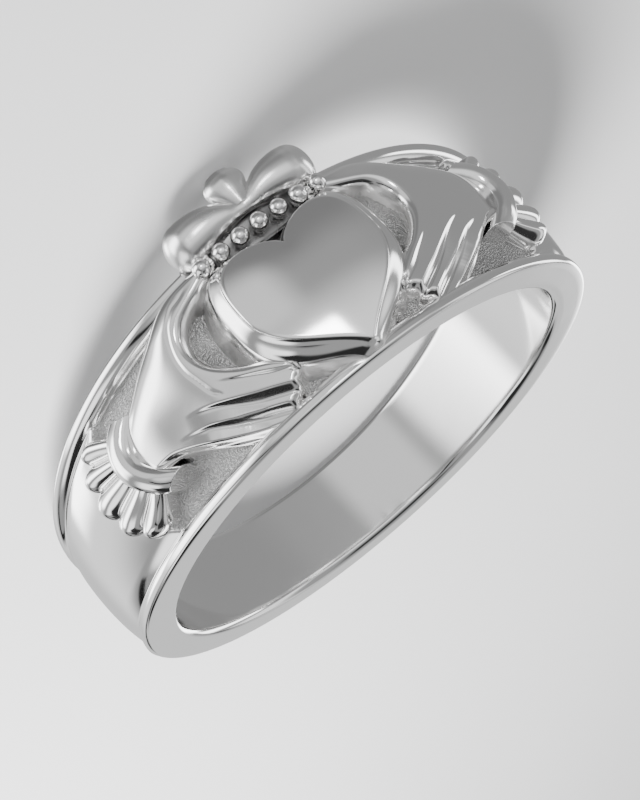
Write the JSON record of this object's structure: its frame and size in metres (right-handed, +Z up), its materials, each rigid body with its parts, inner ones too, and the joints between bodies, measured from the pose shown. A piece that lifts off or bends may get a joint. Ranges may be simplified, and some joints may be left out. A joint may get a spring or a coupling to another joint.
{
  "type": "claddagh ring",
  "caption": "Claddagh ring: two cuffed hands hold a crowned heart on a tapered band with raised rails and a rounded shank.",
  "frame": {"origin": "centre of the finger hole, at the middle of the band's width", "axes": "+Z is up from the table that the ring lies on; the heart faces -Y, with its point up and its crown down; +X is on the right of someone who faces the heart; the finger hole's axis leans 9.11 degrees from +Z towards +Y"},
  "size_m": [0.0204, 0.0219, 0.0082],
  "materials": {
    "polished_metal": "hand-polished white metal, mirror bright, with fine wear"
  },
  "bodies": {
    "root": {"claddagh_ring": "polished_metal"}
  },
  "joints": []
}
